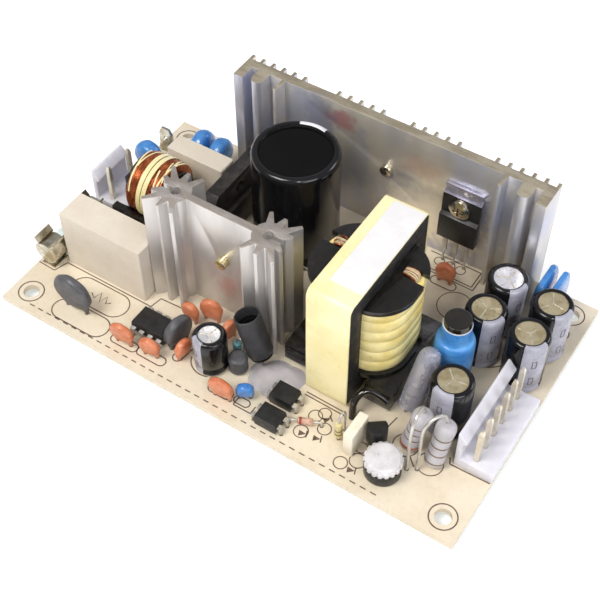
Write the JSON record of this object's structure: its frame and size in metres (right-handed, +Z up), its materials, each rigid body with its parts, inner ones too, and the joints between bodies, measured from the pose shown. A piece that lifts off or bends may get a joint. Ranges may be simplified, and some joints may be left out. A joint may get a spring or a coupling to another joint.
{
  "type": "open frame power supply",
  "caption": "Bare mains power supply board with a transformer, finned heatsinks, capacitors, a fuse and pin headers, fixed by its corner holes.",
  "frame": {"origin": "centre of the four fixing holes on the board's underside", "axes": "+X along the long front edge towards the output end, +Y towards the rear heatsink, +Z up, away from the board's component side"},
  "size_m": [0.1277, 0.0762, 0.0397],
  "materials": {
    "board": "satin cream laminate",
    "rear_aluminium": "satin mill finish",
    "front_aluminium": "satin mill finish",
    "tinned": "tinned",
    "brass_tint": "plated",
    "solder": "soft shine",
    "black_sleeve": "soft shine",
    "line_box": "matte",
    "fuse_glass": "clear",
    "nylon": "milky",
    "ferrite": "matte",
    "black_plastic": "satin",
    "copper": "enamelled wire",
    "yellow_tape": "film",
    "package_black": "moulded",
    "charcoal": "lacquered",
    "white_paper": "smooth",
    "can_metal": "satin",
    "blue_sleeve": "glossy",
    "blue_coating": "lacquered",
    "grey_lacquer": "lacquered",
    "beige_lacquer": "lacquered",
    "clear_sleeve": "clear sleeve",
    "rotor_nylon": "moulded",
    "film_box": "matte",
    "orange_coating": "lacquered",
    "orange_glass": "glass bead",
    "silicone": "clear rubber"
  },
  "bodies": {
    "supply": {"circuit_board": "board", "rear_heatsink": "rear_aluminium", "front_heatsink": "front_aluminium", "heatsink_pins": "tinned", "bulk_capacitor": "black_sleeve", "front_line_capacitor": "line_box", "rear_line_capacitor": "line_box", "fuse_clips": "tinned", "fuse_tube": "fuse_glass", "fuse_caps": "tinned", "fuse_element": "tinned", "mains_header": "nylon", "mains_pins": "tinned", "choke_core": "ferrite", "choke_bobbin": "black_plastic", "choke_windings": "copper", "choke_tape": "yellow_tape", "ground_tab": "tinned", "bridge_rectifier": "package_black", "inrush_thermistor": "charcoal", "control_chip": "package_black", "varistor": "charcoal", "transformer_core": "ferrite", "transformer_bobbin": "black_plastic", "transformer_coil": "yellow_tape", "transformer_tape": "yellow_tape", "transformer_label": "white_paper", "transformer_pins": "tinned", "output_rectifier": "package_black", "switch_transistor": "package_black", "heatsink_screws": "brass_tint", "output_capacitors": "can_metal", "output_capacitor_sleeves": "black_sleeve", "output_choke_rod": "ferrite", "output_choke_sleeve": "blue_sleeve", "output_header": "nylon", "output_pins": "tinned", "power_resistors": "grey_lacquer", "snubber_resistor": "beige_lacquer", "snubber_sleeve": "clear_sleeve", "trimmer_base": "black_plastic", "film_capacitor": "film_box", "signal_transistor": "package_black", "optocouplers": "package_black", "ceramic_discs": "orange_coating", "blue_capacitors": "blue_coating", "small_capacitor": "can_metal", "small_capacitor_sleeve": "black_sleeve", "drum_choke": "ferrite", "sleeved_choke": "ferrite", "choke_sleeve": "charcoal", "standing_resistors": "beige_lacquer", "glass_diode": "orange_glass", "silicone_beads": "silicone", "solder_joints": "solder"},
    "trimmer": {"trimmer_rotor": "rotor_nylon"}
  },
  "joints": [
    {"name": "trimmer_turn", "type": "hinge", "parent": "supply", "child": "trimmer", "pos_m": [0.0416, -0.0302, 0.005], "axis": [0, 0, 1], "range_deg": [-130, 130]}
  ]
}
